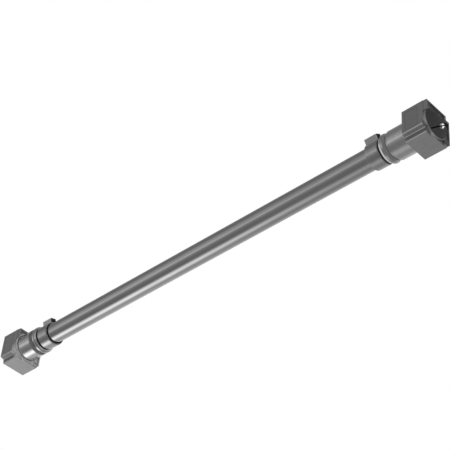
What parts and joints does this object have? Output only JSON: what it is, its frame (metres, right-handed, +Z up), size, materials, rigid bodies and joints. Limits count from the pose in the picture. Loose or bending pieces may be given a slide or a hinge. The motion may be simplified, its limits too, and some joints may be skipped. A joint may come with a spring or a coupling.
{
  "type": "window security bar",
  "caption": "Steel tube bar for a window opening, with a sliding square socket head and a turning catch collar at each end.",
  "frame": {"origin": "middle of the tube, on its axis", "axes": "+X along the bar towards the right-hand head, +Z up, -Y the front of the window"},
  "size_m": [0.7483, 0.0434, 0.0452],
  "materials": {
    "tube_steel": "drawn satin tube, fine lines along its length",
    "collar_steel": "turned satin steel",
    "neck_steel": "turned satin steel",
    "ring_steel": "turned steel, semi-bright",
    "ground_steel": "ground bright bar",
    "block_metal": "satin grey coating on a cast block",
    "plate_metal": "satin grey coating",
    "fastener_steel": "plain steel",
    "bush_bronze": "oiled sintered bronze",
    "pad_rubber": "black rubber pad"
  },
  "bodies": {
    "tube": {"bar_tube": "tube_steel", "left_guide_bush": "bush_bronze", "right_guide_bush": "bush_bronze"},
    "left_head": {"left_spindle": "ground_steel", "left_stop_ring": "fastener_steel", "left_flare_ring": "ring_steel", "left_wedge_ring": "ring_steel", "left_neck_barrel": "neck_steel", "left_bolt_washer": "fastener_steel", "left_end_bolt": "fastener_steel", "left_head_block": "block_metal", "left_side_plate": "plate_metal", "left_end_cap": "block_metal", "left_cap_dowels": "fastener_steel", "left_lock_pin": "fastener_steel", "left_catch_wire": "fastener_steel"},
    "left_collar": {"left_catch_collar": "collar_steel", "left_collar_screw": "fastener_steel", "left_collar_pad": "pad_rubber"},
    "right_head": {"right_spindle": "ground_steel", "right_stop_ring": "fastener_steel", "right_flare_ring": "ring_steel", "right_wedge_ring": "ring_steel", "right_neck_barrel": "neck_steel", "right_bolt_washer": "fastener_steel", "right_end_bolt": "fastener_steel", "right_head_block": "block_metal", "right_side_plate": "plate_metal", "right_end_cap": "block_metal", "right_cap_dowels": "fastener_steel", "right_lock_pin": "fastener_steel", "right_catch_wire": "fastener_steel"},
    "right_collar": {"right_catch_collar": "collar_steel", "right_collar_screw": "fastener_steel", "right_collar_pad": "pad_rubber"}
  },
  "joints": [
    {"name": "left_head_slide", "type": "slide", "parent": "tube", "child": "left_head", "axis": [-1, 0, 0], "range_m": [0, 0.02]},
    {"name": "right_head_slide", "type": "slide", "parent": "tube", "child": "right_head", "axis": [1, 0, 0], "range_m": [0, 0.02]},
    {"name": "left_collar_turn", "type": "hinge", "parent": "tube", "child": "left_collar", "pos_m": [-0.2916, 0, 0], "axis": [1, 0, 0], "range_deg": [-27.2, 32.8]},
    {"name": "right_collar_turn", "type": "hinge", "parent": "tube", "child": "right_collar", "pos_m": [0.2916, 0, 0], "axis": [1, 0, 0], "range_deg": [-45, 15]}
  ]
}
